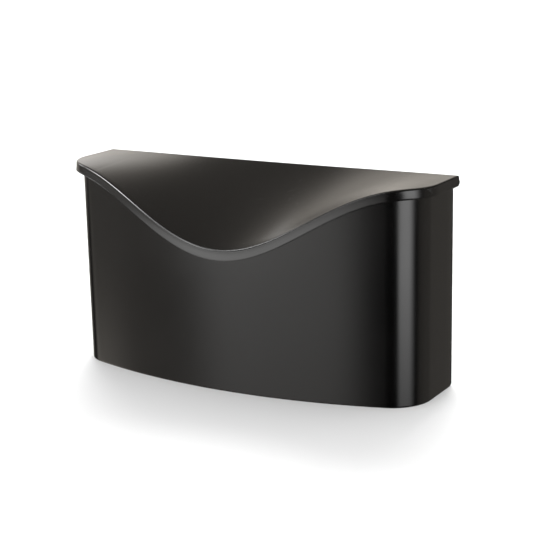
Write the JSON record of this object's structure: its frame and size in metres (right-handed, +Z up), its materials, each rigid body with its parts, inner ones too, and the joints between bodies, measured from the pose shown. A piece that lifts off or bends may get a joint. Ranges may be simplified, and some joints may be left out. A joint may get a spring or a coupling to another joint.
{
  "type": "wall letter box",
  "caption": "Wall-mounted letter box: bowed sheet steel case with rounded front corners, and a hinged lid whose front edge dips in a wave like an envelope flap.",
  "frame": {"origin": "the point on the wall plane that lies midway between the seats of the two keyhole slots", "axes": "+X runs along the width, to the right as seen from the front; +Y points into the wall, so the front faces -Y; +Z is up"},
  "size_m": [0.3816, 0.1139, 0.199],
  "materials": {
    "painted_steel": "smooth black paint, between satin and gloss",
    "lid_plastic": "gloss black moulding",
    "plated_steel": "bright zinc plate",
    "bumper_rubber": "matt"
  },
  "bodies": {
    "case": {"front_wrap": "painted_steel", "floor_pan": "painted_steel", "back_plate": "painted_steel", "side_rivet_1": "plated_steel", "side_rivet_2": "plated_steel", "side_rivet_3": "plated_steel", "side_rivet_4": "plated_steel", "side_rivet_5": "plated_steel", "side_rivet_6": "plated_steel", "floor_rivet_1": "plated_steel", "floor_rivet_2": "plated_steel", "floor_rivet_3": "plated_steel", "bracket_rivet_1": "plated_steel", "bracket_rivet_2": "plated_steel", "bracket_rivet_3": "plated_steel", "bracket_rivet_4": "plated_steel", "hinge_bracket_left": "plated_steel", "hinge_bracket_right": "plated_steel", "hinge_pin_left": "plated_steel", "hinge_pin_right": "plated_steel", "hinge_clip_left": "plated_steel", "hinge_clip_right": "plated_steel"},
    "lid": {"lid_shell": "lid_plastic", "lid_bumper_left": "bumper_rubber", "lid_bumper_right": "bumper_rubber", "lid_bumper_front": "bumper_rubber"}
  },
  "joints": [
    {"name": "lid_hinge", "type": "hinge", "parent": "case", "child": "lid", "pos_m": [0, -0.006, 0.0445], "axis": [-1, 0, 0], "range_deg": [0, 90]}
  ]
}
